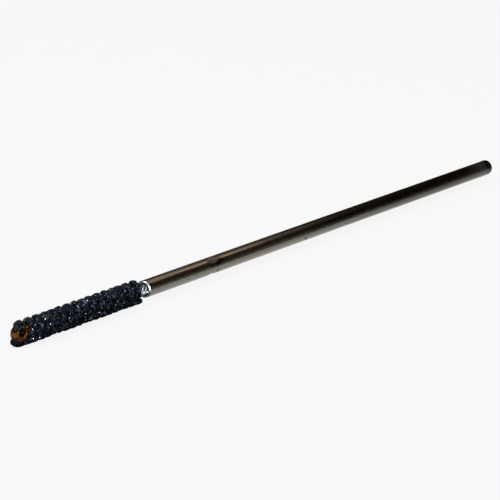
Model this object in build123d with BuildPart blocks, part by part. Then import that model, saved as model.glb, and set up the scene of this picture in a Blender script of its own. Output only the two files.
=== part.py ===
from build123d import *
import os
from math import atan2, cos, degrees, pi, radians, sin, sqrt

# An abrasive bore brush: globules of abrasive on nylon filaments, which are clamped in a stem of two
# folded and twisted wires. The stem is crimped into a steel tube, which is the shank.
# Millimetres and degrees. The brush lies along X, with its tip at -X and its shank's tail at +X.
# The origin is on the axis, at the middle of the length that a chuck grips. Z is up.
# A clock angle is measured about X, from +Y towards +Z.

# Shank tube
shank_diameter = 4.76
shank_length = 177.8
grip_length = 50.0
mouth_chamfer = 0.24
bore_chamfer = 0.12
tail_rounding = 0.55

# Stem wires
wire_diameter = 0.95
lay_lead = 6.0
lay_runout = 1.5
stem_reach = 51.8
stem_depth = 79.0
lay_depth = 7.0
bore_clearance = 0.08
strand_clearance = 0.02

# Eye at the tip, and the resin on it
eye_radius = 1.475
eye_straight = 0.1
eye_taper = 1.9
resin_thickness = 0.15
resin_rounding = 0.5
resin_clearance = 0.01

# Filaments and globules
filament_diameter = 0.25
head_diameter = 6.7
globule_width = 2.4
globule_rim = 0.75
row_pitch = 2.48
first_globule = 1.9
mouth_gap = 2.2
seat_clearance = 0.03
hole_clearance = 0.01
groups_in_row = 8

# Crimps
jaw_count = 3
jaw_clock = 125.5
jaw_station = 28.8
jaw_radius = 13.0
jaw_depth = 0.2
tooth_count = 5
tooth_pitch = 0.75
tooth_radius = 0.16
tooth_depth = 0.07
stake_stations = (30.6, 73.0)
stake_clocks = (25.5, 205.5)
stake_width = 1.5
stake_depth = 0.38

# Stations along X
tail_x = grip_length / 2
mouth_x = tail_x - shank_length
tip_x = mouth_x - stem_reach
eye_x = tip_x + resin_thickness + wire_diameter / 2 + eye_radius
spread_x = eye_x + eye_straight
lay_start_x = spread_x + eye_taper
lay_end_x = mouth_x + lay_depth
stem_end_x = mouth_x + stem_depth
globules_end_x = mouth_x - mouth_gap - globule_width / 2

twist_rate = 2 * pi / lay_lead
eye_clock = 90.0


def strand_gap(radius, apart):
    """The shortest way between the centres of two strands, turned apart by an angle in radians."""
    steps = 120
    shifts = [lay_lead / 4 * step / steps for step in range(steps)]
    return min(sqrt(2 * radius**2 * (1 - cos(apart - twist_rate * x)) + x**2) for x in shifts)


def bisect(low, high, enough):
    """The smallest value between low and high that is enough."""
    for _ in range(30):
        middle = (low + high) / 2
        low, high = (low, middle) if enough(middle) else (middle, high)
    return high


def touching_angle(radius):
    """The angle in radians between two strands that just touch."""
    return bisect(0.1, pi, lambda apart: strand_gap(radius, apart) > wire_diameter + strand_clearance)


def holds_filament(radius):
    """Whether strands that touch in pairs leave room for a filament between the pairs."""
    room = wire_diameter + filament_diameter + 2 * strand_clearance
    return strand_gap(radius, pi - touching_angle(radius)) > room


# Lay of the stem: the two legs of a wire touch, and the filaments lie between the wires
strand_radius = bisect(wire_diameter * 0.6, wire_diameter * 1.6, holds_filament)
leg_angle = degrees(touching_angle(strand_radius)) / 2
wire_offset = strand_radius * cos(radians(leg_angle))
leg_height = strand_radius * sin(radians(leg_angle))
stem_radius = strand_radius + wire_diameter / 2
bore_diameter = 2 * (stem_radius + bore_clearance)

globule_height = head_diameter / 2 - stem_radius - seat_clearance
globule_radius = head_diameter / 2 - globule_height / 2
# The radius of the caps that meet the rim smoothly
cap_inset = (globule_width / 2 - globule_rim) ** 2 + (globule_height / 2) ** 2 - globule_rim**2
cap_radius = cap_inset / (globule_height - 2 * globule_rim)
resin_reach = eye_radius + wire_diameter / 2 + resin_thickness


def slot_clock(x):
    """Clock angle of the slot between the wires, upright at the eye and then turning left-handed."""
    run = max(min(x, lay_end_x) - spread_x, 0)
    over = min(max(x - lay_end_x, 0), lay_runout)
    turned = run - lay_runout / 2 if run > lay_runout else run**2 / (2 * lay_runout)
    return eye_clock - degrees(twist_rate) * (turned + over - over**2 / (2 * lay_runout))


def around(x, radius, clock):
    """The point at a station, a radius and a clock angle."""
    return (x, radius * cos(radians(clock)), radius * sin(radians(clock)))


def strand_point(x, offset):
    """Where the strand that is turned from the slot by an angle passes a station."""
    return around(x, strand_radius, slot_clock(x) + offset)


def leg_point(x, side, leg):
    """Where a leg of a wire passes a station on its way from the eye to its place in the lay."""
    share = (x - spread_x) / eye_taper
    height = eye_radius + (leg_height - eye_radius) * share**2 * (3 - 2 * share)
    radius = sqrt(wire_offset**2 + height**2)
    return around(x, radius, slot_clock(x) - side * degrees(atan2(wire_offset, leg * height)))


def strand_tangent(x, offset):
    """Direction of a strand where it is fully twisted, towards the tail."""
    return around(1, strand_radius * twist_rate, slot_clock(x) + offset - 90)


def tangent_plane(x, radius, clock):
    """The plane that faces outward at a radius, with its X along the brush."""
    return Plane(origin=around(x, radius, clock), x_dir=(1, 0, 0), z_dir=around(0, 1, clock))


def cross_plane(x, radius, clock):
    """The plane that faces across at a radius, with its X along the brush and its Y outward."""
    return Plane(origin=around(x, radius, clock), x_dir=(1, 0, 0), z_dir=around(0, 1, clock + 90))


def globule_distance(one, other):
    """Straight distance between the centres of the globules at two stations of a row."""
    start = Vector(*around(one, globule_radius, slot_clock(one)))
    return (Vector(*around(other, globule_radius, slot_clock(other))) - start).length


def row_stations():
    """Stations of the filaments, evenly spaced along the row of globules that they carry."""
    stations = []
    station = tip_x + first_globule
    while station <= globules_end_x:
        stations.append(station)
        last = station
        station = bisect(last, last + row_pitch, lambda x: globule_distance(last, x) >= row_pitch)
    return stations


def leg_curves(side, leg):
    """The curves of one leg of a wire, from the eye to the end in the tube.

    side is -1 for the near wire and 1 for the far one, and leg is 1 for the upper leg.
    """
    offset = -side * (90 - leg * leg_angle)
    eye_end = (spread_x, side * wire_offset, leg * eye_radius)
    tapering = [leg_point(spread_x + eye_taper * share, side, leg) for share in (1 / 3, 2 / 3, 1)]
    settling = [strand_point(lay_end_x + lay_runout * share, offset) for share in (0, 0.5, 1)]
    with BuildLine() as straight:
        Line((eye_x, eye_end[1], eye_end[2]), eye_end)
    with BuildLine() as taper:
        Spline(eye_end, *tapering, tangents=[(1, 0, 0), strand_tangent(lay_start_x, offset)])
    with BuildLine() as lay:
        helix = Helix(lay_lead, lay_end_x - lay_start_x, strand_radius, lefthand=True, mode=Mode.PRIVATE)
        facing = around(0, 1, slot_clock(lay_start_x) + offset)
        add(Plane(origin=(lay_start_x, 0, 0), x_dir=facing, z_dir=(1, 0, 0)).from_local_coords(helix))
    with BuildLine() as settle:
        Spline(*settling, tangents=[strand_tangent(lay_end_x, offset), (1, 0, 0)])
    with BuildLine() as end:
        Line(settling[-1], (stem_end_x, settling[-1][1], settling[-1][2]))
    return [straight.line, taper.line, lay.line, settle.line, end.line]


def finish(shape, label):
    """Labels a finished piece and writes it under its name."""
    shape.label = label
    export_step(shape, f"parts/{label}.step")


os.makedirs("parts", exist_ok=True)
stations = row_stations()

# Steel tube: chamfered mouth, rounded tail, and crimps that hold the stem
with BuildPart() as shank_tube:
    with BuildSketch(Plane.YZ.offset(mouth_x)):
        Circle(shank_diameter / 2)
        Circle(bore_diameter / 2, mode=Mode.SUBTRACT)
    extrude(amount=shank_length)
    rims = shank_tube.edges().filter_by(GeomType.CIRCLE)
    mouth_rims = rims.group_by(Axis.X)[0].sort_by(SortBy.RADIUS)
    tail_rim = rims.group_by(Axis.X)[-1].sort_by(SortBy.RADIUS)[-1]
    chamfer(mouth_rims[-1], mouth_chamfer)
    chamfer(mouth_rims[0], bore_chamfer)
    fillet(tail_rim, tail_rounding)
    # The crimping jaws leave shallow hollows with the marks of their teeth
    jaw_floor = shank_diameter / 2 - jaw_depth
    for jaw in range(jaw_count):
        clock = jaw_clock + 360 / jaw_count * jaw
        with BuildSketch(cross_plane(mouth_x + jaw_station, jaw_floor + jaw_radius, clock)):
            Circle(jaw_radius)
        extrude(amount=shank_diameter / 2, both=True, mode=Mode.SUBTRACT)
        for tooth in range(tooth_count):
            along = (tooth - (tooth_count - 1) / 2) * tooth_pitch
            rise = jaw_radius - sqrt(jaw_radius**2 - along**2)
            centre = jaw_floor + rise - tooth_depth + tooth_radius
            with BuildSketch(cross_plane(mouth_x + jaw_station + along, centre, clock)):
                Circle(tooth_radius)
            extrude(amount=shank_diameter / 2, both=True, mode=Mode.SUBTRACT)
    # The stakes are punched dimples
    for station in stake_stations:
        for clock in stake_clocks:
            with BuildSketch(tangent_plane(mouth_x + station, shank_diameter / 2, clock)):
                Circle(stake_width / 2)
            with BuildSketch(tangent_plane(mouth_x + station, shank_diameter / 2 - stake_depth, clock)):
                Circle(stake_width / 8)
            loft(mode=Mode.SUBTRACT)
finish(shank_tube.part, "shank_tube")

# Stem wires: each is folded into an eye at the tip, and its legs are twisted with the other wire's
for side, label in ((-1, "stem_wire_near"), (1, "stem_wire_far")):
    with BuildPart() as stem_wire:
        with BuildLine() as eye:
            ThreePointArc(
                (eye_x, side * wire_offset, eye_radius),
                (eye_x - eye_radius, side * wire_offset, 0),
                (eye_x, side * wire_offset, -eye_radius),
            )
        for curve in [eye.line, *leg_curves(side, 1), *leg_curves(side, -1)]:
            with BuildSketch(Plane(origin=curve @ 0, z_dir=curve % 0)):
                Circle(wire_diameter / 2)
            sweep(path=curve)
    finish(stem_wire.part, label)

# Resin that coats both eyes and fills the gap between them
with BuildPart() as tip_resin:
    with BuildLine() as bend:
        Line((spread_x, 0, -eye_radius), (eye_x, 0, -eye_radius))
        ThreePointArc((eye_x, 0, -eye_radius), (eye_x - eye_radius, 0, 0), (eye_x, 0, eye_radius))
        Line((eye_x, 0, eye_radius), (spread_x, 0, eye_radius))
    with BuildSketch(Plane(origin=bend.line @ 0, x_dir=(0, 1, 0), z_dir=bend.line % 0)):
        coat = wire_diameter + 2 * resin_thickness
        RectangleRounded(coat + 2 * wire_offset, coat, resin_rounding)
    sweep(path=bend.line)
    with BuildSketch(Plane(origin=bend.line @ 0, x_dir=(0, 1, 0), z_dir=bend.line % 0)):
        with Locations((-wire_offset, 0), (wire_offset, 0)):
            Circle(wire_diameter / 2 + resin_clearance)
    sweep(path=bend.line, mode=Mode.SUBTRACT)
    with BuildSketch():
        with Locations([(x, 0) for x in stations if x < spread_x]):
            Circle(filament_diameter / 2 + hole_clearance)
    extrude(amount=resin_reach, both=True, mode=Mode.SUBTRACT)
finish(tip_resin.part, "tip_resin")

# Filaments and globules, in groups along the brush. Each filament carries a globule on each end.
for group in range(groups_in_row):
    first = group * len(stations) // groups_in_row
    last = (group + 1) * len(stations) // groups_in_row
    members = stations[first:last]
    with BuildPart() as filaments:
        for x in members:
            with BuildSketch(tangent_plane(x, 0, slot_clock(x))):
                Circle(filament_diameter / 2)
            extrude(amount=globule_radius, both=True)
    finish(filaments.part, f"filaments_{group + 1:02d}")
    for row, turn in (("a", 0), ("b", 180)):
        with BuildPart() as globules:
            for x in members:
                # The half profile stands on the filament's line. Near the eye it starts clear of the legs,
                # just above the resin.
                floor = resin_reach + resin_clearance if x < lay_start_x else 0
                clock = slot_clock(x) + turn
                with BuildSketch(cross_plane(x, 0, clock)) as profile:
                    with Locations((0, globule_radius + globule_height / 2 - cap_radius)):
                        Circle(cap_radius)
                    with Locations((0, globule_radius - globule_height / 2 + cap_radius)):
                        Circle(cap_radius, mode=Mode.INTERSECT)
                    fillet(profile.vertices(), globule_rim)
                    Rectangle(globule_width, head_diameter, align=(Align.MAX, Align.MIN), mode=Mode.SUBTRACT)
                    Rectangle(
                        filament_diameter / 2 + hole_clearance,
                        globule_radius + hole_clearance,
                        align=(Align.MIN, Align.MIN),
                        mode=Mode.SUBTRACT,
                    )
                    if floor:
                        Rectangle(globule_width, floor, align=(Align.CENTER, Align.MIN), mode=Mode.SUBTRACT)
                revolve(axis=Axis((x, 0, 0), around(0, 1, clock)))
        finish(globules.part, f"globules_{row}_{group + 1:02d}")
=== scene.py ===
# An abrasive bore brush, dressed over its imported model, in a plain pale studio.
# Lengths whose names end in _mm are millimetres, and everything else is in metres, in the model's frame:
# the brush lies along X, with its tip at -X and its shank's tail at +X, and Z is up.
# A clock angle is measured in degrees about X, from +Y towards +Z.
import logging
import math
import random
from dataclasses import dataclass
from enum import Enum
from typing import Any, Iterator

import bmesh
import bpy
from mathutils import Matrix, Vector, noise


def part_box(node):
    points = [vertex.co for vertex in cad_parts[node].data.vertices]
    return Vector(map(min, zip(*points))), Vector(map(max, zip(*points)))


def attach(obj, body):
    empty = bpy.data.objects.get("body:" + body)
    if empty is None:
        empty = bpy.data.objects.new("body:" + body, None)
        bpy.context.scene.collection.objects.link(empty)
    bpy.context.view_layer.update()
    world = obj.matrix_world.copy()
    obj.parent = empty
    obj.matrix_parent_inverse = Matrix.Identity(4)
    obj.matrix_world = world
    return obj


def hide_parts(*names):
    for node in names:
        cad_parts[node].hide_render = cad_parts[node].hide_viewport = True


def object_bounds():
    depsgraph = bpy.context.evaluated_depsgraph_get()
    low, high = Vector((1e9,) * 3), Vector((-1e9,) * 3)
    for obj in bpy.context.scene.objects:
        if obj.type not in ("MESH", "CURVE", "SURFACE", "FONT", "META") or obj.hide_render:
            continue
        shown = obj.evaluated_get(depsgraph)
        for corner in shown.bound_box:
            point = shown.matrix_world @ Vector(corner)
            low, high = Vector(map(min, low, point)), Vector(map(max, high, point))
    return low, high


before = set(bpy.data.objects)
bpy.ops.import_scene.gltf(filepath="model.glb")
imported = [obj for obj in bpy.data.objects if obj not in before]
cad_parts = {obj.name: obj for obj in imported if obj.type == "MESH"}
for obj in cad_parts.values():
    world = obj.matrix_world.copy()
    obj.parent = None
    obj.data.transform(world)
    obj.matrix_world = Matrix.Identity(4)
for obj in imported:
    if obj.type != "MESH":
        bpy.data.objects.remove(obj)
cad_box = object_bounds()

MM = 0.001
BODY = "root"
IMAGE_WIDTH = 500.0
WELD_MM = 0.0005

# Sockets of a Mix node that mixes colours
MIX_A = 6
MIX_B = 7

# Two numbers that belong together: the ends of a range, a length and a width, or a place in a plane
Pair = tuple[float, float]

log = logging.getLogger("bore_brush")


class Row(Enum):
    """The two rows of globules, by the letter in their nodes' names."""

    FIRST = "a"
    SECOND = "b"


class Seen(Enum):
    """What a studio surface is there for."""

    BY_ALL = "by_all"
    IN_REFLECTIONS = "in_reflections"


def linear(colour: str) -> tuple[float, float, float, float]:
    """Turns an sRGB hex colour to the linear values that Blender's sockets take.

    Args:
        colour: the colour as #rrggbb.

    Returns:
        Linear red, green and blue, and an alpha of 1.
    """
    channels = [int(colour[place : place + 2], 16) / 255 for place in (1, 3, 5)]
    red, green, blue = (c / 12.92 if c <= 0.04045 else ((c + 0.055) / 1.055) ** 2.4 for c in channels)
    return red, green, blue, 1.0


def add_node(
    tree: bpy.types.NodeTree,
    kind: str,
    inputs: dict[str | int, Any] | None = None,
    **settings: Any,
) -> bpy.types.Node:
    """Adds a node with its settings, values and links.

    Args:
        tree: the node tree that gets the node.
        kind: the node's Blender type.
        inputs: for each input socket, the value it takes, or the socket or node it is linked to. A node
            stands for its first output that is in use.
        settings: the node's own properties.

    Returns:
        The new node.
    """
    node = tree.nodes.new(kind)
    for name, value in settings.items():
        setattr(node, name, value)
    for name, value in (inputs or {}).items():
        if isinstance(value, bpy.types.Node):
            value = next(output for output in value.outputs if output.enabled)
        if isinstance(value, bpy.types.NodeSocket):
            tree.links.new(value, node.inputs[name])
        else:
            node.inputs[name].default_value = value
    return node


def clock_direction(degrees: float) -> Vector:
    """The direction at a clock angle, square to the brush."""
    return Vector((0.0, math.cos(math.radians(degrees)), math.sin(math.radians(degrees))))


def new_material(name: str) -> tuple[bpy.types.Material, bpy.types.NodeTree, bpy.types.Node]:
    """Starts a material whose patterns are laid out in millimetres.

    Args:
        name: the material's name.

    Returns:
        The material, its empty node tree and a node that gives the place on the object in millimetres.
    """
    material = bpy.data.materials.new(name)
    material.use_nodes = True
    tree = material.node_tree
    tree.nodes.clear()
    place = add_node(tree, "ShaderNodeTexCoord").outputs["Object"]
    in_mm = add_node(tree, "ShaderNodeMapping", {"Vector": place, "Scale": (1 / MM,) * 3})
    return material, tree, in_mm


def finish_surface(tree: bpy.types.NodeTree, shader: bpy.types.Node) -> None:
    """Makes a shader the surface of a material."""
    add_node(tree, "ShaderNodeOutputMaterial", {"Surface": shader})


def axis_distance(tree: bpy.types.NodeTree, place: bpy.types.Node) -> bpy.types.Node:
    """Measures how far a place is from the brush's axis."""
    across = add_node(tree, "ShaderNodeVectorMath", {0: place, 1: (0.0, 1.0, 1.0)}, operation="MULTIPLY")
    return add_node(tree, "ShaderNodeVectorMath", {0: across}, operation="LENGTH")


def add_piece(name: str, bm: bmesh.types.BMesh, materials: list[bpy.types.Material]) -> bpy.types.Object:
    """Makes a piece of the brush of a finished bmesh, riding on the brush's body.

    Args:
        name: the piece's name.
        bm: its shape, in place, which is freed.
        materials: its materials, in the order of its faces' material indices.

    Returns:
        The new object.
    """
    mesh = bpy.data.meshes.new(name)
    bm.to_mesh(mesh)
    bm.free()
    for material in materials:
        mesh.materials.append(material)
    piece = bpy.data.objects.new(name, mesh)
    bpy.context.scene.collection.objects.link(piece)
    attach(piece, BODY)
    return piece


def merged_copy(node: str) -> bmesh.types.BMesh:
    """Copies a CAD node with its loose triangles joined.

    Args:
        node: the node's name.

    Returns:
        The copy, which its user frees.
    """
    bm = bmesh.new()
    bm.from_mesh(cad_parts[node].data)
    bmesh.ops.remove_doubles(bm, verts=bm.verts[:], dist=WELD_MM * MM)
    return bm


def absorb(bm: bmesh.types.BMesh, other: bmesh.types.BMesh) -> None:
    """Adds the shape of another bmesh to a bmesh.

    Args:
        bm: the bmesh that gets the shape.
        other: the one that has it, which is freed.
    """
    mesh = bpy.data.meshes.new("absorbed")
    other.to_mesh(mesh)
    other.free()
    bm.from_mesh(mesh)
    bpy.data.meshes.remove(mesh)


def solids_of(node: str) -> Iterator[list[Vector]]:
    """The vertices of each separate solid in a CAD node.

    Args:
        node: the node's name.

    Yields:
        The places of one solid's vertices.
    """
    bm = merged_copy(node)
    unseen = set(bm.verts)
    for start in bm.verts:
        if start not in unseen:
            continue
        unseen.discard(start)
        solid, border = [], [start]
        while border:
            vertex = border.pop()
            solid.append(vertex.co.copy())
            for edge in vertex.link_edges:
                other = edge.other_vert(vertex)
                if other in unseen:
                    unseen.discard(other)
                    border.append(other)
        yield solid
    bm.free()


@dataclass(frozen=True)
class Patch:
    """An oval patch on the outside of the tube that is darker or lighter than the steel round it."""

    station_mm: float
    clock: float
    half_mm: Pair
    shade: float
    edge: Pair

    def laid_on(
        self,
        tree: bpy.types.NodeTree,
        place: bpy.types.Node,
        radius_mm: float,
        shade: bpy.types.Node,
    ) -> bpy.types.Node:
        """Multiplies the shade of the steel by the patch's own.

        Args:
            tree: the material's nodes.
            place: the place in millimetres.
            radius_mm: the tube's outer radius.
            shade: the shade without the patch.

        Returns:
            The shade with it.
        """
        half_length, half_width = self.half_mm
        oval = (1 / half_length, 1 / half_width, 1 / half_width)
        middle = clock_direction(self.clock) * radius_mm
        middle.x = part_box("shank_tube")[0].x / MM + self.station_mm
        apart = add_node(tree, "ShaderNodeVectorMath", {0: place, 1: tuple(middle)}, operation="SUBTRACT")
        scaled = add_node(tree, "ShaderNodeVectorMath", {0: apart, 1: oval}, operation="MULTIPLY")
        away = add_node(tree, "ShaderNodeVectorMath", {0: scaled}, operation="LENGTH")
        edge = {"Value": away, "From Min": self.edge[0], "From Max": self.edge[1], "To Min": self.shade}
        own = add_node(tree, "ShaderNodeMapRange", edge)
        return add_node(tree, "ShaderNodeMath", {0: shade, 1: own}, operation="MULTIPLY")


@dataclass(frozen=True)
class DrawnSteelFinish:
    """Cold-drawn mild steel tube, oiled and handled: dark and glossy, with fine lines along its length."""

    name: str = "drawn_steel_tube"
    steel: str = "#82837a"
    tan_film: str = "#867f6f"
    rust: str = "#4a493f"
    # The tail's end: a patina, with painted shade for its rounded end
    tail_patina_and_shade: str = "#1f190f"
    cut_steel: str = "#b2b6af"
    # Painted shade: the bore, out to this radius from the axis, is painted near black for the shade inside
    # it
    bore: str = "#15130f"
    bore_shade_radius_mm: float = 1.85
    # The lines of the drawing die are too fine to show in the render, so they are drawn coarser
    line_mm: Pair = (30.0, 0.3)
    line_depth_mm: float = 0.004
    line_bump: float = 0.5
    stain_mm: Pair = (45.0, 5.0)
    speck_mm: Pair = (0.7, 0.7)
    # The part of a pattern's values over which a change happens, and what it leads from and to
    film_range: Pair = (0.38, 0.66)
    line_range: Pair = (0.3, 0.75)
    line_shade: Pair = (0.72, 1.08)
    speck_range: Pair = (0.58, 0.7)
    speck_shade: Pair = (1.0, 0.6)
    gloss_range: Pair = (0.3, 0.7)
    roughness: Pair = (0.22, 0.32)
    anisotropy: float = 0.5
    # Distances from the mouth
    face_mm: Pair = (0.02, 0.04)
    chamfer_mm: Pair = (0.25, 0.3)
    oxide_mm: Pair = (45.0, 150.0)
    # Distances from the tail
    rust_mm: Pair = (15.0, 6.0)
    # Where the tail's patina and painted shade begin and are full
    patina_and_shade_mm: Pair = (3.7, 3.1)
    # How metallic the sawn face and the rust are, and how much the oxide darkens
    face_metal: float = 0.1
    rust_metal: float = 0.45
    oxide_shade: float = 0.34
    # A darker patch at the crimp, and beside it a painted highlight: a long bright line standing in for a
    # reflection
    patches: tuple[Patch, ...] = (
        Patch(station_mm=30.0, clock=143.0, half_mm=(3.9, 1.5), shade=0.3, edge=(0.55, 1.1)),
        # Painted highlight: this patch brightens the steel's colour into a thin bright line
        Patch(station_mm=33.0, clock=125.0, half_mm=(28.0, 0.26), shade=3.8, edge=(0.1, 1.0)),
    )

    def build(self) -> bpy.types.Material:
        """Builds the material, whose colour and gloss follow the tube's length.

        Returns:
            The material.
        """
        material, tree, place = new_material(self.name)
        patterns = []
        for (length, width), detail in ((self.line_mm, 3.0), (self.stain_mm, 5.0), (self.speck_mm, 4.0)):
            scale = (1 / length, 1 / width, 1 / width)
            drawn = add_node(tree, "ShaderNodeMapping", {"Vector": place, "Scale": scale})
            pattern = {"Vector": drawn, "Scale": 1.0, "Detail": detail}
            patterns.append(add_node(tree, "ShaderNodeTexNoise", pattern))
        lines, stains, specks = patterns

        # Dry rust dulls the last stretch, and the tail's end is painted near black: a patina, with painted
        # shade for its rounded end. The mouth is freshly cut, with a matt face and bright chamfers.
        along = add_node(tree, "ShaderNodeSeparateXYZ", {"Vector": place}).outputs["X"]
        low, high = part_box("shank_tube")
        face, chamfer, oxide = (
            [low.x / MM + reach for reach in reaches]
            for reaches in (self.face_mm, self.chamfer_mm, self.oxide_mm)
        )
        rust, patina_and_shade = (
            [high.x / MM - reach for reach in reaches] for reaches in (self.rust_mm, self.patina_and_shade_mm)
        )
        part = {}
        for name, value, (start, end), (first, last) in (
            ("film", stains, self.film_range, (0.0, 1.0)),
            ("lines", lines, self.line_range, self.line_shade),
            ("specks", specks, self.speck_range, self.speck_shade),
            ("roughness", stains, self.gloss_range, self.roughness),
            ("rust", along, rust, (0.0, 1.0)),
            ("rust_metal", along, rust, (1.0, self.rust_metal)),
            ("patina_and_shade", along, patina_and_shade, (0.0, 1.0)),
            ("cut", along, chamfer, (1.0, 0.0)),
            ("face_metal", along, face, (self.face_metal, 1.0)),
        ):
            span = {"Value": value, "From Min": start, "From Max": end, "To Min": first, "To Max": last}
            part[name] = add_node(tree, "ShaderNodeMapRange", span)

        tones = {0: part["film"], MIX_A: linear(self.steel), MIX_B: linear(self.tan_film)}
        filmed = add_node(tree, "ShaderNodeMix", tones, data_type="RGBA")
        # The oxide film darkens towards the tail
        span = {
            "Value": along,
            "From Min": oxide[0],
            "From Max": oxide[1],
            "To Min": 1.0,
            "To Max": self.oxide_shade,
        }
        oxidised = add_node(tree, "ShaderNodeMapRange", span, interpolation_type="SMOOTHSTEP")
        shade = part["lines"]
        for darkening in (part["specks"], oxidised):
            shade = add_node(tree, "ShaderNodeMath", {0: shade, 1: darkening}, operation="MULTIPLY")
        # The darker patch at the crimp, and the painted highlight beside it
        for patch in self.patches:
            shade = patch.laid_on(tree, place, high.z / MM, shade)
        colour = add_node(tree, "ShaderNodeVectorMath", {0: filmed, "Scale": shade}, operation="SCALE")
        # Painted shade darkens the inside of the bore
        bore = {0: axis_distance(tree, place), 1: self.bore_shade_radius_mm}
        inside = add_node(tree, "ShaderNodeMath", bore, operation="LESS_THAN")
        for share, tone in (
            (part["rust"], self.rust),
            (part["patina_and_shade"], self.tail_patina_and_shade),
            (part["cut"], self.cut_steel),
            (inside, self.bore),
        ):
            tones = {0: share, MIX_A: colour, MIX_B: linear(tone)}
            colour = add_node(tree, "ShaderNodeMix", tones, data_type="RGBA")
        metals = {0: part["rust_metal"], 1: part["face_metal"]}
        metal = add_node(tree, "ShaderNodeMath", metals, operation="MULTIPLY")
        relief = {"Height": lines, "Strength": self.line_bump, "Distance": self.line_depth_mm * MM}
        shader = add_node(
            tree,
            "ShaderNodeBsdfPrincipled",
            {
                "Base Color": colour,
                "Metallic": metal,
                "Roughness": part["roughness"],
                "Anisotropic": self.anisotropy,
                # Lines along the tube spread a reflection round it
                "Tangent": add_node(tree, "ShaderNodeTangent", direction_type="RADIAL", axis="X"),
                "Normal": add_node(tree, "ShaderNodeBump", relief),
            },
        )
        finish_surface(tree, shader)
        return material


@dataclass(frozen=True)
class ZincWireFinish:
    """Zinc-coated steel wire: bright and a little milky, and black with grit under the globules."""

    name: str = "zinc_coated_wire"
    bright: str = "#e4e9ee"
    dull: str = "#a9b0b8"
    dusty: str = "#0f1115"
    # Distances from the tube's mouth at which the grit thins out and the wire is bare
    clean_mm: Pair = (2.9, 2.5)
    cloud_mm: float = 0.35
    cloud_depth_mm: float = 0.01
    cloud_bump: float = 0.5
    dull_range: Pair = (0.35, 0.65)
    gloss_range: Pair = (0.3, 0.7)
    roughness: Pair = (0.18, 0.4)

    def build(self) -> bpy.types.Material:
        """Builds the material, with cloudy patches of zinc.

        Returns:
            The material.
        """
        material, tree, place = new_material(self.name)
        cloudy = {"Vector": place, "Scale": 1 / self.cloud_mm, "Detail": 4.0}
        clouds = add_node(tree, "ShaderNodeTexNoise", cloudy)
        along = add_node(tree, "ShaderNodeSeparateXYZ", {"Vector": place}).outputs["X"]
        mouth_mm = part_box("shank_tube")[0].x / MM
        parts = []
        for value, (start, end), (first, last) in (
            (clouds, self.dull_range, (0.0, 1.0)),
            (clouds, self.gloss_range, self.roughness),
            (along, [mouth_mm - reach for reach in self.clean_mm], (0.0, 1.0)),
        ):
            span = {"Value": value, "From Min": start, "From Max": end, "To Min": first, "To Max": last}
            parts.append(add_node(tree, "ShaderNodeMapRange", span))
        dulled, gloss, clean = parts
        tones = {0: dulled, MIX_A: linear(self.bright), MIX_B: linear(self.dull)}
        zinc = add_node(tree, "ShaderNodeMix", tones, data_type="RGBA")
        tones = {0: clean, MIX_A: linear(self.dusty), MIX_B: zinc}
        relief = {"Height": clouds, "Strength": self.cloud_bump, "Distance": self.cloud_depth_mm * MM}
        shader = add_node(
            tree,
            "ShaderNodeBsdfPrincipled",
            {
                "Base Color": add_node(tree, "ShaderNodeMix", tones, data_type="RGBA"),
                "Metallic": clean,
                "Roughness": gloss,
                "Normal": add_node(tree, "ShaderNodeBump", relief),
            },
        )
        finish_surface(tree, shader)
        return material


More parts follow.
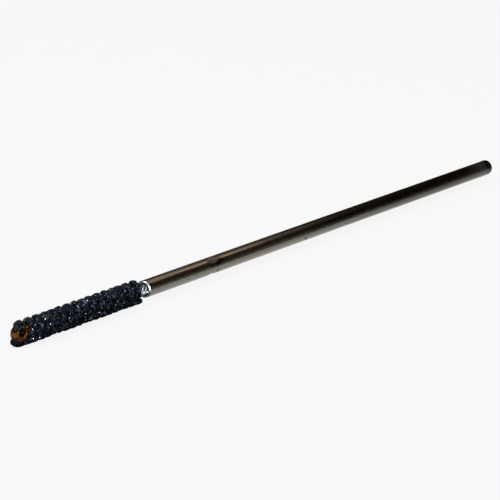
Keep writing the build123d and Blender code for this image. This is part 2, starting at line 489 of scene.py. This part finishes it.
@dataclass(frozen=True)
class PhenolicResinFinish:
    """Cured phenolic resin, brushed on: amber and glossy, brown towards the stem, with painted shade black
    inside the eye and between the wires.
    """

    name: str = "phenolic_resin"
    amber: str = "#9c6220"
    brown: str = "#45240d"
    # Painted shade: the eye's hollow and the gap between the wires are painted this black
    black: str = "#080705"
    cast: str = "#ffb070"
    # The middle of the eye's painted shade, behind the tip and above the axis, and how far that painted
    # shade reaches each way
    eye_shade_mm: Pair = (1.2, 0.9)
    eye_shade_half_mm: Pair = (1.2, 1.0)
    eye_shade_edge: Pair = (0.85, 1.2)
    # Painted shade near the axis, between the wires behind the eye's front
    core_shade_mm: Pair = (0.95, 1.2)
    core_shade_from_mm: float = 1.1
    brown_from_mm: float = 1.8
    brown_to_mm: float = 3.2
    cloud_mm: float = 0.9
    cloud_range: Pair = (0.42, 0.68)
    ripple_mm: float = 0.35
    ripple_depth_mm: float = 0.03
    ripple_bump: float = 0.6
    ior: float = 1.6
    roughness: float = 0.16
    depth_share: float = 0.1
    depth_mm: tuple[float, float, float] = (0.6, 0.3, 0.1)

    def build(self) -> bpy.types.Material:
        """Builds the material, mottled from amber to brown, with painted shade darkening the eye's middle.

        Returns:
            The material.
        """
        material, tree, place = new_material(self.name)
        clouds, ripples = (
            add_node(tree, "ShaderNodeTexNoise", {"Vector": place, "Scale": 1 / width, "Detail": detail})
            for width, detail in ((self.cloud_mm, 3.0), (self.ripple_mm, 2.0))
        )
        along = add_node(tree, "ShaderNodeSeparateXYZ", {"Vector": place}).outputs["X"]
        tip_mm = cad_box[0].x / MM
        # The eye is looked into across the brush, so the middle of its painted shade is a line along Y
        half_length, half_height = self.eye_shade_half_mm
        oval = (1 / half_length, 0.0, 1 / half_height)
        flat = add_node(tree, "ShaderNodeVectorMath", {0: place, 1: oval}, operation="MULTIPLY")
        middle = ((tip_mm + self.eye_shade_mm[0]) / half_length, 0.0, self.eye_shade_mm[1] / half_height)
        away = add_node(tree, "ShaderNodeVectorMath", {0: flat, 1: middle}, operation="DISTANCE")
        parts = []
        for value, (start, end), (first, last) in (
            (clouds, self.cloud_range, (0.0, 1.0)),
            (along, (tip_mm + self.brown_from_mm, tip_mm + self.brown_to_mm), (0.0, 1.0)),
            (away, self.eye_shade_edge, (1.0, 0.0)),
            (axis_distance(tree, place), self.core_shade_mm, (1.0, 0.0)),
        ):
            span = {"Value": value, "From Min": start, "From Max": end, "To Min": first, "To Max": last}
            parts.append(add_node(tree, "ShaderNodeMapRange", span))
        # The eye's mask is painted shade for its hollow
        mottle, behind, eye, core_shade = parts
        # The resin near the axis, between the wires and behind the eye's front, is painted near black:
        # painted shade of the gap, in resin that has taken up grit
        front_mm = tip_mm + self.core_shade_from_mm
        past = add_node(tree, "ShaderNodeMath", {0: along, 1: front_mm}, operation="GREATER_THAN")
        gritty_core_shade = add_node(tree, "ShaderNodeMath", {0: core_shade, 1: past}, operation="MULTIPLY")
        browned = add_node(tree, "ShaderNodeMath", {0: mottle, 1: behind}, operation="MAXIMUM")
        painted_shade = add_node(tree, "ShaderNodeMath", {0: eye, 1: gritty_core_shade}, operation="MAXIMUM")
        tones = {0: browned, MIX_A: linear(self.amber), MIX_B: linear(self.brown)}
        resin = add_node(tree, "ShaderNodeMix", tones, data_type="RGBA")
        # The painted shade goes over the resin
        tones = {0: painted_shade, MIX_A: resin, MIX_B: linear(self.black)}
        relief = {"Height": ripples, "Strength": self.ripple_bump, "Distance": self.ripple_depth_mm * MM}
        shader = add_node(
            tree,
            "ShaderNodeBsdfPrincipled",
            {
                "Base Color": add_node(tree, "ShaderNodeMix", tones, data_type="RGBA"),
                "IOR": self.ior,
                "Specular Tint": linear(self.cast),
                "Roughness": self.roughness,
                "Subsurface Weight": self.depth_share,
                "Subsurface Radius": tuple(depth * MM for depth in self.depth_mm),
                "Subsurface Scale": 1.0,
                "Normal": add_node(tree, "ShaderNodeBump", relief),
            },
        )
        finish_surface(tree, shader)
        return material


@dataclass(frozen=True)
class NylonFinish:
    """Extruded nylon monofilament, dusted with grit: dark, with a soft waxy gloss."""

    name: str = "nylon_monofilament"
    clean: str = "#3a342c"
    dusty: str = "#1b1c22"
    dust_mm: float = 0.25
    ior: float = 1.53
    roughness: float = 0.38

    def build(self) -> bpy.types.Material:
        """Builds the material, with patches of dust.

        Returns:
            The material.
        """
        material, tree, place = new_material(self.name)
        dusty = {"Vector": place, "Scale": 1 / self.dust_mm, "Detail": 3.0}
        dust = add_node(tree, "ShaderNodeTexNoise", dusty)
        tones = {0: dust, MIX_A: linear(self.clean), MIX_B: linear(self.dusty)}
        colour = add_node(tree, "ShaderNodeMix", tones, data_type="RGBA")
        skin = {"Base Color": colour, "IOR": self.ior, "Roughness": self.roughness}
        finish_surface(tree, add_node(tree, "ShaderNodeBsdfPrincipled", skin))
        return material


@dataclass(frozen=True)
class GritFinish:
    """Silicon carbide grit moulded in a resin binder: near black with a blue cast, rough all over."""

    name: str = "silicon_carbide_grit"
    # The hollows between the grains: the binder's dark tone, deepened by painted shade
    hollow_shade: str = "#020408"
    crest: str = "#2a3442"
    cast: str = "#ccd9f4"
    # The real grit is too fine to show in the render, so its grains are drawn coarser
    grain_mm: float = 0.16
    grain_slope: float = 0.7
    grain_depth_mm: float = 0.02
    grain_bump: float = 0.8
    clump_mm: float = 0.6
    clump_range: Pair = (0.4, 0.64)
    ior: float = 1.6
    sheen_share: float = 0.1
    roughness: float = 0.45

    def build(self) -> bpy.types.Material:
        """Builds the material, whose grains stand out of the binder.

        Returns:
            The material.
        """
        material, tree, place = new_material(self.name)
        grains = add_node(tree, "ShaderNodeTexVoronoi", {"Vector": place, "Scale": 1 / self.grain_mm})
        uneven = {"Vector": place, "Scale": 1 / self.clump_mm, "Detail": 5.0}
        clumps = add_node(tree, "ShaderNodeTexNoise", uneven)
        slope = {"Value": grains, "From Max": self.grain_slope, "To Min": 1.0, "To Max": 0.0}
        height = add_node(tree, "ShaderNodeMapRange", slope)
        clumped = {"Value": clumps, "From Min": self.clump_range[0], "From Max": self.clump_range[1]}
        clump = add_node(tree, "ShaderNodeMapRange", clumped)
        # The tone follows the grains' height, so painted shade darkens the hollows between them
        tone = add_node(tree, "ShaderNodeMath", {0: height, 1: clump}, operation="MULTIPLY")
        tones = {0: tone, MIX_A: linear(self.hollow_shade), MIX_B: linear(self.crest)}
        relief = {"Height": height, "Strength": self.grain_bump, "Distance": self.grain_depth_mm * MM}
        shader = add_node(
            tree,
            "ShaderNodeBsdfPrincipled",
            {
                "Base Color": add_node(tree, "ShaderNodeMix", tones, data_type="RGBA"),
                "IOR": self.ior,
                "Specular IOR Level": self.sheen_share,
                "Specular Tint": linear(self.cast),
                "Roughness": self.roughness,
                "Normal": add_node(tree, "ShaderNodeBump", relief),
            },
        )
        finish_surface(tree, shader)
        return material


@dataclass(frozen=True)
class CrystalFinish:
    """Split silicon carbide crystals: flat facets, dark blue-grey, with the mineral's strong reflection."""

    name: str = "silicon_carbide_crystal"
    dark: str = "#060a12"
    light: str = "#a2b0c8"
    dark_share: float = 0.55
    cast: str = "#dfe8fa"
    # A cell is a little larger than a crystal, so that most crystals have one tone
    cell_mm: float = 0.3
    ior: float = 2.65
    roughness: float = 0.12

    def build(self) -> bpy.types.Material:
        """Builds the material, whose tone changes from crystal to crystal.

        Returns:
            The material.
        """
        material, tree, place = new_material(self.name)
        cells = add_node(tree, "ShaderNodeTexVoronoi", {"Vector": place, "Scale": 1 / self.cell_mm})
        chance = add_node(tree, "ShaderNodeSeparateColor", {"Color": cells.outputs["Color"]})
        tone = add_node(tree, "ShaderNodeMapRange", {"Value": chance, "From Min": self.dark_share})
        tones = {0: tone, MIX_A: linear(self.dark), MIX_B: linear(self.light)}
        facet = {
            "Base Color": add_node(tree, "ShaderNodeMix", tones, data_type="RGBA"),
            "IOR": self.ior,
            "Specular Tint": linear(self.cast),
            "Roughness": self.roughness,
        }
        finish_surface(tree, add_node(tree, "ShaderNodeBsdfPrincipled", facet))
        return material


@dataclass
class ShankTube:
    """The drawn steel tube, whose CAD node has the right shape."""

    finish: DrawnSteelFinish = DrawnSteelFinish()

    def build(self) -> None:
        """Dresses the tube."""
        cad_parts["shank_tube"].material_slots[0].material = self.finish.build()
        log.info("shank_tube: dressed")


@dataclass
class Stem:
    """The twisted wires and the filaments between them, whose CAD nodes have the right shapes."""

    wire_finish: ZincWireFinish = ZincWireFinish()
    filament_finish: NylonFinish = NylonFinish()

    def build(self) -> None:
        """Dresses the wires and the filaments."""
        wire = self.wire_finish.build()
        nylon = self.filament_finish.build()
        for name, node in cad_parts.items():
            if name.startswith("stem_wire"):
                node.material_slots[0].material = wire
            elif name.startswith("filaments"):
                node.material_slots[0].material = nylon
        log.info("stem wires and filaments: dressed")


@dataclass
class TipResin:
    """The resin on the eye, brushed on over the wires and their legs, so lumpier than its CAD node."""

    finish: PhenolicResinFinish = PhenolicResinFinish()
    leg_reach_mm: float = 5.5
    leg_coat_mm: float = 0.2
    voxel_mm: float = 0.07
    lump_mm: float = 0.8
    lump_height_mm: float = 0.12

    def build(self) -> None:
        """Builds the coat of resin, which stands for the CAD node."""
        bm = merged_copy("tip_resin")
        for wire in ("stem_wire_near", "stem_wire_far"):
            absorb(bm, self.coat_of(wire))
        piece = add_piece("resin_coat", bm, [self.finish.build()])
        remesh = piece.modifiers.new("remesh", "REMESH")
        remesh.mode = "VOXEL"
        remesh.voxel_size = self.voxel_mm * MM
        remesh.use_smooth_shade = True
        evaluated = piece.evaluated_get(bpy.context.evaluated_depsgraph_get())
        coat = bpy.data.meshes.new_from_object(evaluated)
        piece.modifiers.clear()
        piece.data = coat
        coat.update()
        moves = [self.lump(vertex.co, vertex.normal) for vertex in coat.vertices]
        for vertex, move in zip(coat.vertices, moves):
            vertex.co += move
            vertex.co.x = max(vertex.co.x, cad_box[0].x)
        coat.update()
        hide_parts("tip_resin")
        log.info("resin_coat: %d faces", len(coat.polygons))

    def coat_of(self, wire: str) -> bmesh.types.BMesh:
        """The coat on the first stretch of a wire, as a thickened copy of it.

        Args:
            wire: the wire's CAD node.

        Returns:
            A closed bmesh.
        """
        coat = merged_copy(wire)
        end = Vector((cad_box[0].x + self.leg_reach_mm * MM, 0.0, 0.0))
        whole = [*coat.verts, *coat.edges, *coat.faces]
        bmesh.ops.bisect_plane(coat, geom=whole, plane_co=end, plane_no=(1.0, 0.0, 0.0), clear_outer=True)
        bmesh.ops.holes_fill(coat, edges=[edge for edge in coat.edges if edge.is_boundary])
        bmesh.ops.recalc_face_normals(coat, faces=coat.faces[:])
        for vertex in coat.verts:
            vertex.co += vertex.normal * self.leg_coat_mm * MM
        return coat

    def lump(self, place: Vector, normal: Vector) -> Vector:
        """How far the brushed coat stands off the even one at a place."""
        swell = noise.noise(place / (self.lump_mm * MM))
        return normal * swell * self.lump_height_mm * MM


@dataclass(frozen=True)
class Seat:
    """Where the CAD has a globule: its middle, its way outward and its size."""

    centre: Vector
    outward: Vector
    half_width: float
    half_height: float

    @classmethod
    def of(cls, solid: list[Vector]) -> "Seat":
        """Measures the even solid of a globule.

        Args:
            solid: the places of its vertices.

        Returns:
            The globule's seat.
        """
        middle = sum(solid, Vector()) / len(solid)
        outward = Vector((0.0, middle.y, middle.z)).normalized()
        heights = [point.dot(outward) for point in solid]
        stations = [point.x for point in solid]
        station = (min(stations) + max(stations)) / 2
        centre = outward * ((min(heights) + max(heights)) / 2) + Vector((station, 0.0, 0.0))
        return cls(centre, outward, (max(stations) - min(stations)) / 2, (max(heights) - min(heights)) / 2)

    def bedded(self, floor: float, shift: float, growth: float) -> "Seat":
        """The seat of a globule that has sunk into the resin under it.

        Args:
            floor: how near the axis the globule then reaches.
            shift: how far it then stands towards the tip.
            growth: how many times wider it then is.

        Returns:
            The new seat.
        """
        height = self.centre.dot(self.outward)
        top = height + self.half_height
        moved = self.outward * ((top + floor) / 2 - height) - Vector((shift, 0.0, 0.0))
        return Seat(self.centre + moved, self.outward, self.half_width * growth, (top - floor) / 2)


@dataclass
class GlobuleRow:
    """A row of abrasive globules: lumps of grit in resin that have run together along the row."""

    row: Row
    seed: int
    binder: bpy.types.Material
    crystal: bpy.types.Material
    # The first globule of the row has sunk into the resin of the eye
    first_floor_mm: float
    first_shift_mm: float
    first_growth: float = 1.3
    subdivisions: int = 5
    along_row: float = 1.24
    across_row: float = 0.84
    size_change: float = 0.05
    pattern_reach_mm: float = 50.0
    lump_mm: float = 1.1
    lump_height_mm: float = 0.16
    grit_mm: float = 0.3
    grit_height_mm: float = 0.1
    grit_steps: float = 0.4
    grains_each: int = 140
    bare_share: float = 0.5
    # The real crystals are too fine to show in the render, so they are made coarser
    grain_mm: Pair = (0.12, 0.26)
    grain_width: Pair = (0.6, 1.0)
    grain_thickness: Pair = (0.4, 0.8)
    grain_sink: float = 0.03

    def build(self) -> None:
        """Builds one piece for each of the row's CAD nodes."""
        draw = random.Random(self.seed)
        prefix = f"globules_{self.row.value}_"
        groups = {
            node: [Seat.of(solid) for solid in solids_of(node)]
            for node in sorted(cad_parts)
            if node.startswith(prefix)
        }
        every = [seat for seats in groups.values() for seat in seats]
        ordered = sorted(every, key=lambda seat: seat.centre.x)
        ways = {}
        for place, seat in enumerate(ordered):
            before, after = ordered[max(place - 1, 0)], ordered[min(place + 1, len(ordered) - 1)]
            step = after.centre - before.centre
            ways[id(seat)] = (step - seat.outward * step.dot(seat.outward)).normalized()
        for node, seats in groups.items():
            bm = bmesh.new()
            for seat in seats:
                way = ways[id(seat)]
                if seat is ordered[0]:
                    seat = seat.bedded(self.first_floor_mm * MM, self.first_shift_mm * MM, self.first_growth)
                skin = self.add_globule(bm, seat, way, draw)
                self.add_grains(bm, skin, seat.centre, draw)
            piece = add_piece(node.replace("globules", "grit"), bm, [self.binder, self.crystal])
            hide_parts(node)
            log.info("%s: %d faces", piece.name, len(piece.data.polygons))

    def add_globule(
        self, bm: bmesh.types.BMesh, seat: Seat, way: Vector, draw: random.Random
    ) -> list[Vector]:
        """Adds one globule where the CAD has its even solid.

        Args:
            bm: the bmesh that gets the globule.
            seat: where the CAD has the globule.
            way: the row's direction there.
            draw: the row's source of random numbers.

        Returns:
            The places on its skin.
        """
        turn = Matrix((way, seat.outward.cross(way), seat.outward)).transposed()
        swell = 1 + draw.uniform(-self.size_change, self.size_change)
        length = seat.half_width * self.along_row * swell
        width = seat.half_width * self.across_row * swell
        offset = Vector([draw.uniform(-self.pattern_reach_mm, self.pattern_reach_mm) for _ in range(3)])
        made = bmesh.ops.create_icosphere(bm, subdivisions=self.subdivisions, radius=1.0)
        for vertex in made["verts"]:
            unit = vertex.co.normalized()
            place = seat.centre + turn @ Vector((unit.x * length, unit.y * width, unit.z * seat.half_height))
            place += (turn @ unit) * self.relief(place / MM + offset)
            vertex.co = self.held_in(place, 0.0)
        for face in {face for vertex in made["verts"] for face in vertex.link_faces}:
            face.smooth = True
        return [vertex.co.copy() for vertex in made["verts"]]

    @staticmethod
    def held_in(place: Vector, margin: float) -> Vector:
        """Brings a place inside the head's cylinder and behind the tip.

        Args:
            place: the place.
            margin: how far inside it stays.

        Returns:
            The nearest place that is inside.
        """
        reach, tip = cad_box[1].z - margin, cad_box[0].x + margin
        off_axis = math.hypot(place.y, place.z)
        shrink = reach / off_axis if off_axis > reach else 1.0
        return Vector((max(place.x, tip), place.y * shrink, place.z * shrink))

    def relief(self, place_mm: Vector) -> float:
        """How far a globule's skin stands off the even shape.

        Args:
            place_mm: the place on the skin, in the globule's own part of the pattern.

        Returns:
            The height in metres.
        """
        lumps = noise.noise(place_mm / self.lump_mm) * self.lump_height_mm
        cell = noise.cell(place_mm / self.grit_mm) - 0.5
        grit = (noise.noise(place_mm / self.grit_mm) + self.grit_steps * cell) * self.grit_height_mm
        return (lumps + grit) * MM

    def add_grains(
        self, bm: bmesh.types.BMesh, skin: list[Vector], centre: Vector, draw: random.Random
    ) -> None:
        """Beds grains in a globule's skin, turned at random. Some of them are bare crystals.

        Args:
            bm: the bmesh that gets the grains.
            skin: the places on the globule's skin.
            centre: the globule's middle.
            draw: the row's source of random numbers.
        """
        grains = bmesh.new()
        for _ in range(self.grains_each):
            size = draw.uniform(*self.grain_mm) * MM
            axis = Vector([draw.gauss(0, 1) for _ in range(3)]).normalized()
            spin = Matrix.Rotation(draw.uniform(0, math.tau), 4, axis)
            width = size * draw.uniform(*self.grain_width)
            thickness = size * draw.uniform(*self.grain_thickness)
            spot = self.held_in(draw.choice(skin).lerp(centre, self.grain_sink), size)
            shape = Matrix.Translation(spot) @ spin @ Matrix.Diagonal((size, width, thickness, 1.0))
            bmesh.ops.create_icosphere(grains, subdivisions=1, radius=1.0, matrix=shape)
        each = len(grains.faces) // self.grains_each
        bare = [draw.random() < self.bare_share for _ in range(self.grains_each)]
        for number, face in enumerate(grains.faces):
            face.material_index = int(bare[number // each])
        absorb(bm, grains)


@dataclass
class Viewpoint:
    """The photograph's camera, worked out from the perspective of the tube."""

    heading: float = 36.02
    elevation: float = 15.0
    distance_mm: float = 654.0
    focal_pixels: float = 2460.0
    mouth_pixel: Pair = (143.1, 289.5)
    sensor_mm: float = 36.0
    clip: Pair = (0.01, 50.0)

    def build(self) -> None:
        """Creates the scene's camera."""
        heading, elevation = math.radians(self.heading), math.radians(self.elevation)
        level = math.cos(elevation)
        forward = Vector((level * math.cos(heading), level * math.sin(heading), -math.sin(elevation)))
        right = Vector((math.sin(heading), -math.cos(heading), 0.0))
        up = right.cross(forward)
        mouth = Vector((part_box("shank_tube")[0].x, 0.0, 0.0))
        distance = self.distance_mm * MM
        sideways = (self.mouth_pixel[0] - IMAGE_WIDTH / 2) / self.focal_pixels * distance
        upward = (IMAGE_WIDTH / 2 - self.mouth_pixel[1]) / self.focal_pixels * distance
        data = bpy.data.cameras.new("camera")
        data.sensor_width = self.sensor_mm
        data.lens = self.focal_pixels / IMAGE_WIDTH * self.sensor_mm
        data.clip_start, data.clip_end = self.clip
        camera = bpy.data.objects.new("camera", data)
        camera.location = mouth - forward * distance - right * sideways - up * upward
        camera.rotation_mode = "QUATERNION"
        camera.rotation_quaternion = Matrix((right, up, -forward)).transposed().to_quaternion()
        bpy.context.scene.collection.objects.link(camera)
        bpy.context.scene.camera = camera
        log.info("camera: %.0f mm lens", data.lens)


@dataclass(frozen=True)
class Lamp:
    """An elliptical softbox, aimed at a point of the brush. Its radiance is what a mirror shows of it."""

    name: str
    place: Vector
    aim: Vector
    size: Pair
    radiance: float
    colour: str
    seen: Seen = Seen.BY_ALL

    def build(self) -> None:
        """Hangs the lamp, with its length along the brush."""
        data = bpy.data.lights.new(self.name, "AREA")
        data.shape = "ELLIPSE"
        data.size, data.size_y = self.size
        # A flat lamp's power is pi times its radiance for each part of its area
        data.energy = self.radiance * math.pi * math.pi / 4 * data.size * data.size_y
        data.color = linear(self.colour)[:3]
        lamp = bpy.data.objects.new(self.name, data)
        away = (self.place - self.aim).normalized()
        across = away.cross(Vector((1.0, 0.0, 0.0))).normalized()
        lamp.location = self.place
        lamp.rotation_mode = "QUATERNION"
        lamp.rotation_quaternion = Matrix((across.cross(away), across, away)).transposed().to_quaternion()
        lamp.visible_diffuse = self.seen is not Seen.IN_REFLECTIONS
        bpy.context.scene.collection.objects.link(lamp)


@dataclass
class Studio:
    """A pale floor in a white room, with softboxes overhead and dark flags that only reflections show."""

    floor_size: float = 12.0
    floor_colour: str = "#ffffff"
    floor_bounce: str = "#8c8c8a"
    floor_glow: float = 0.87
    room_light: float = 0.5
    room_colour: str = "#f3f7ff"
    flag_radius: float = 0.9
    flag_length: float = 5.0
    flag_clock: float = 3.0
    flag_steps: int = 24
    flag_tone: str = "#292015"
    screen_width: float = 2.16
    screen_tone: str = "#85837f"
    strip_distance: float = 0.014
    strip_height: float = 0.004
    strip_length: float = 0.5
    mat_length: float = 0.3
    mat_width: float = 0.123
    mat_reach: float = 0.003
    mat_lift: float = 0.0003
    lamps: tuple[Lamp, ...] = (
        Lamp(
            name="tail_softbox",
            place=Vector((0.095, 0.03, 0.3)),
            aim=Vector((0.095, 0.0, 0.0)),
            size=(0.36, 0.4),
            radiance=0.95,
            colour="#ffe6d9",
            seen=Seen.IN_REFLECTIONS,
        ),
        Lamp(
            name="key_softbox",
            place=Vector((-0.38, 0.2, 0.5)),
            aim=Vector((-0.17, 0.0, 0.0)),
            size=(0.12, 0.12),
            radiance=16.0,
            colour="#f4f8ff",
        ),
        # The tube's sides never reflect what is on the tip's side of them, so this one is for the
        # head and the tube's mouth
        Lamp(
            name="tip_softbox",
            place=Vector((-0.7, -0.15, 0.3)),
            aim=Vector((-0.17, 0.0, 0.0)),
            size=(1.3, 1.3),
            radiance=1.7,
            colour="#e6efff",
            seen=Seen.IN_REFLECTIONS,
        ),
        Lamp(
            name="glint_lamp",
            place=Vector((-0.62, -0.5, 0.1)),
            aim=Vector((-0.17, 0.0, 0.0)),
            size=(0.16, 0.16),
            radiance=45.0,
            colour="#f6faff",
            seen=Seen.IN_REFLECTIONS,
        ),
    )

    def build(self) -> None:
        """Builds the floor, the room, the lamps and the flags."""
        self.build_room()
        self.build_floor()
        for lamp in self.lamps:
            lamp.build()
        cloth = self.even_cloth("black_cloth", self.flag_tone)
        self.build_flag(cloth)
        self.build_panels(cloth)
        bpy.context.scene.view_settings.view_transform = "Standard"
        log.info("studio: built")

    @staticmethod
    def seen_rays(tree: bpy.types.NodeTree) -> bpy.types.Node:
        """Finds the rays that show the background: camera, glossy and transmission.

        Args:
            tree: the nodes of a material or of the world.

        Returns:
            A node that gives 1 for those rays and 0 for the others.
        """
        rays = add_node(tree, "ShaderNodeLightPath").outputs
        seen = rays["Is Camera Ray"]
        for kind in ("Is Glossy Ray", "Is Transmission Ray"):
            seen = add_node(tree, "ShaderNodeMath", {0: seen, 1: rays[kind]}, operation="MAXIMUM")
        return seen

    def build_room(self) -> None:
        """Lights the room evenly and shows it white."""
        world = bpy.data.worlds.new("room")
        world.use_nodes = True
        tree = world.node_tree
        tree.nodes.clear()
        seen = self.seen_rays(tree)
        lit = {"Value": seen, "To Min": self.room_light, "To Max": 1.0}
        strength = add_node(tree, "ShaderNodeMapRange", lit)
        tones = {0: seen, MIX_A: linear(self.room_colour), MIX_B: linear("#ffffff")}
        tint = add_node(tree, "ShaderNodeMix", tones, data_type="RGBA")
        light = add_node(tree, "ShaderNodeBackground", {"Color": tint, "Strength": strength})
        add_node(tree, "ShaderNodeOutputWorld", {"Surface": light})
        bpy.context.scene.world = world

    def build_floor(self) -> None:
        """Lays the floor under the brush. Most of its white is a glow, and the rest takes the shadow."""
        material, tree, _ = new_material("paper_floor")
        seen = self.seen_rays(tree)
        tones = {0: seen, MIX_A: linear(self.floor_bounce), MIX_B: linear(self.floor_colour)}
        shade = add_node(tree, "ShaderNodeMix", tones, data_type="RGBA")
        paper = add_node(tree, "ShaderNodeBsdfDiffuse", {"Color": shade})
        glow = add_node(tree, "ShaderNodeEmission", {"Color": linear(self.floor_colour), "Strength": 1.0})
        shown = add_node(tree, "ShaderNodeMath", {0: seen, 1: self.floor_glow}, operation="MULTIPLY")
        finish_surface(tree, add_node(tree, "ShaderNodeMixShader", {0: shown, 1: paper, 2: glow}))
        bm = bmesh.new()
        level = Matrix.Translation((0.0, 0.0, cad_box[0].z))
        bmesh.ops.create_grid(bm, x_segments=1, y_segments=1, size=self.floor_size / 2, matrix=level)
        self.add_stage("floor", bm, material, Seen.BY_ALL)

    @staticmethod
    def even_cloth(name: str, tone: str) -> bpy.types.Material:
        """A cloth that shows one even tone.

        Args:
            name: the material's name.
            tone: its colour as #rrggbb.

        Returns:
            The material.
        """
        material, tree, _ = new_material(name)
        cloth = add_node(tree, "ShaderNodeEmission", {"Color": linear(tone), "Strength": 1.0})
        finish_surface(tree, cloth)
        return material

    def build_flag(self, cloth: bpy.types.Material) -> None:
        """Arches a flag over the brush, from just above the floor on one side to the other.

        Args:
            cloth: the flag's material.
        """
        bm = bmesh.new()
        edge = clock_direction(self.flag_clock) * self.flag_radius
        half = Vector((self.flag_length / 2, 0.0, 0.0))
        ends = [bm.verts.new(edge - half), bm.verts.new(edge + half)]
        rim = bm.edges.new(ends)
        bmesh.ops.spin(
            bm,
            geom=[*ends, rim],
            cent=(0.0, 0.0, 0.0),
            axis=(1.0, 0.0, 0.0),
            angle=math.radians(180.0 - 2 * self.flag_clock),
            steps=self.flag_steps,
        )
        self.add_stage("flag_overhead", bm, cloth, Seen.IN_REFLECTIONS)

    def build_panels(self, cloth: bpy.types.Material) -> None:
        """Sets up the flat cloths: a strip, a mat and the screens that close the ends of the arch.

        Args:
            cloth: the material of the strip and the mat.
        """
        (tip, _, floor_level), tail = cad_box[0], cad_box[1].x
        upright, endways = (Matrix.Rotation(math.pi / 2, 4, axis) for axis in "XY")
        # The strip stands low in front of the brush and narrows the floor's reflection
        strip_place = ((tip + tail) / 2, -self.strip_distance, floor_level + self.strip_height / 2)
        strip = (strip_place, upright, self.strip_length, self.strip_height)
        # The mat lies in front of the head, so that its lower side reflects no floor there
        mat_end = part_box("shank_tube")[0].x - self.mat_length / 2
        mat_place = (mat_end, self.mat_reach - self.mat_width / 2, floor_level + self.mat_lift)
        mat = (mat_place, Matrix(), self.mat_length, self.mat_width)
        # A view along the brush would see the open ends of the arch in it
        screens = [
            ((end * self.flag_length / 2, 0.0, 0.0), endways, self.screen_width, self.screen_width)
            for end in (-1, 1)
        ]
        for name, panels, material in (
            ("flag_strip", [strip], cloth),
            ("flag_mat", [mat], cloth),
            ("end_screens", screens, self.even_cloth("grey_cloth", self.screen_tone)),
        ):
            bm = bmesh.new()
            for place, turn, length, width in panels:
                shape = Matrix.Translation(place) @ turn @ Matrix.Diagonal((length / 2, width / 2, 1.0, 1.0))
                bmesh.ops.create_grid(bm, x_segments=1, y_segments=1, size=1.0, matrix=shape)
            self.add_stage(name, bm, material, Seen.IN_REFLECTIONS)

    @staticmethod
    def add_stage(name: str, bm: bmesh.types.BMesh, material: bpy.types.Material, seen: Seen) -> None:
        """Adds a surface of the studio that isn't part of the brush.

        Args:
            name: the surface's name.
            bm: its shape, which is freed.
            material: its material.
            seen: whether everything or only a reflection shows it.
        """
        mesh = bpy.data.meshes.new(name)
        bm.to_mesh(mesh)
        bm.free()
        mesh.materials.append(material)
        surface = bpy.data.objects.new(name, mesh)
        bpy.context.scene.collection.objects.link(surface)
        if seen is Seen.IN_REFLECTIONS:
            surface.visible_camera = False
            surface.visible_diffuse = False
            surface.visible_transmission = False
            surface.visible_volume_scatter = False
            surface.visible_shadow = False


def main() -> None:
    """Builds the brush and its studio."""
    logging.basicConfig(level=logging.INFO, format="%(name)s: %(message)s")
    ShankTube().build()
    Stem().build()
    TipResin().build()
    binder, crystal = GritFinish().build(), CrystalFinish().build()
    GlobuleRow(Row.FIRST, 11, binder, crystal, first_floor_mm=0.95, first_shift_mm=0.2).build()
    GlobuleRow(Row.SECOND, 12, binder, crystal, first_floor_mm=0.6, first_shift_mm=0.45).build()
    Viewpoint().build()
    Studio().build()


if __name__ == "__main__":
    main()
